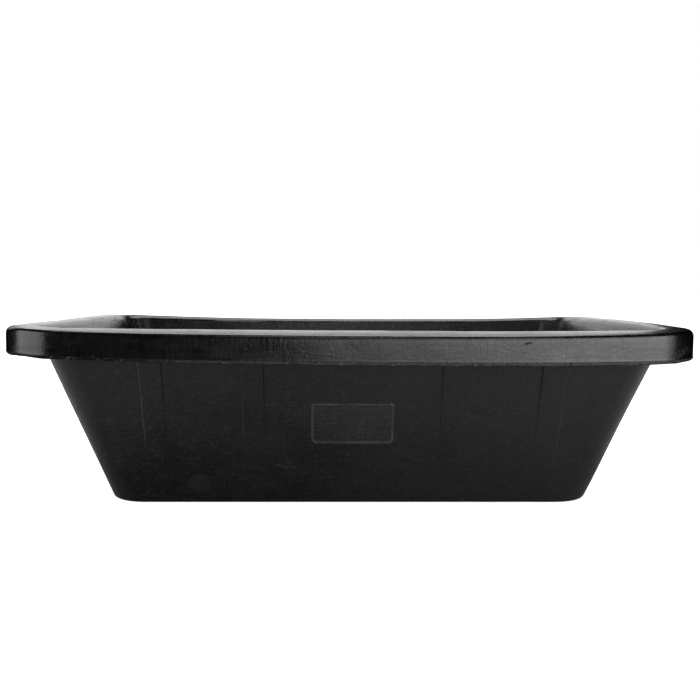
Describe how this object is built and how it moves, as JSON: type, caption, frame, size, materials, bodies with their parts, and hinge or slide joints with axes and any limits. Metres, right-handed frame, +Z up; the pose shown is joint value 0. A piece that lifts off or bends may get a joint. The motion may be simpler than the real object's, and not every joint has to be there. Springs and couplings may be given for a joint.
{
  "type": "mortar mixing tub",
  "caption": "Rectangular black rubber mixing tub with sloping banded walls, a flat floor and a wide rim turned down all round as a hand grip.",
  "frame": {"origin": "centre of the flat underside that the tub stands on", "axes": "+Z up out of the tub's mouth, +X along the tub's length, +Y towards the rear wall, so the front wall with the blank plate faces -Y"},
  "size_m": [0.7, 0.46, 0.1937],
  "materials": {
    "dull_rubber": "matte with a faint grey bloom",
    "rim_rubber": "satin, polished by handling and lightly scuffed",
    "band_rubber": "matte",
    "plate_rubber": "matte, worn paler than the wall"
  },
  "bodies": {
    "root": {"pan": "dull_rubber", "rim": "rim_rubber", "front_band_1": "band_rubber", "front_band_2": "band_rubber", "front_band_3": "band_rubber", "front_band_4": "band_rubber", "rear_band_1": "band_rubber", "rear_band_2": "band_rubber", "rear_band_3": "band_rubber", "rear_band_4": "band_rubber", "left_band_1": "band_rubber", "left_band_2": "band_rubber", "right_band_1": "band_rubber", "right_band_2": "band_rubber", "front_plate": "plate_rubber"}
  },
  "joints": []
}
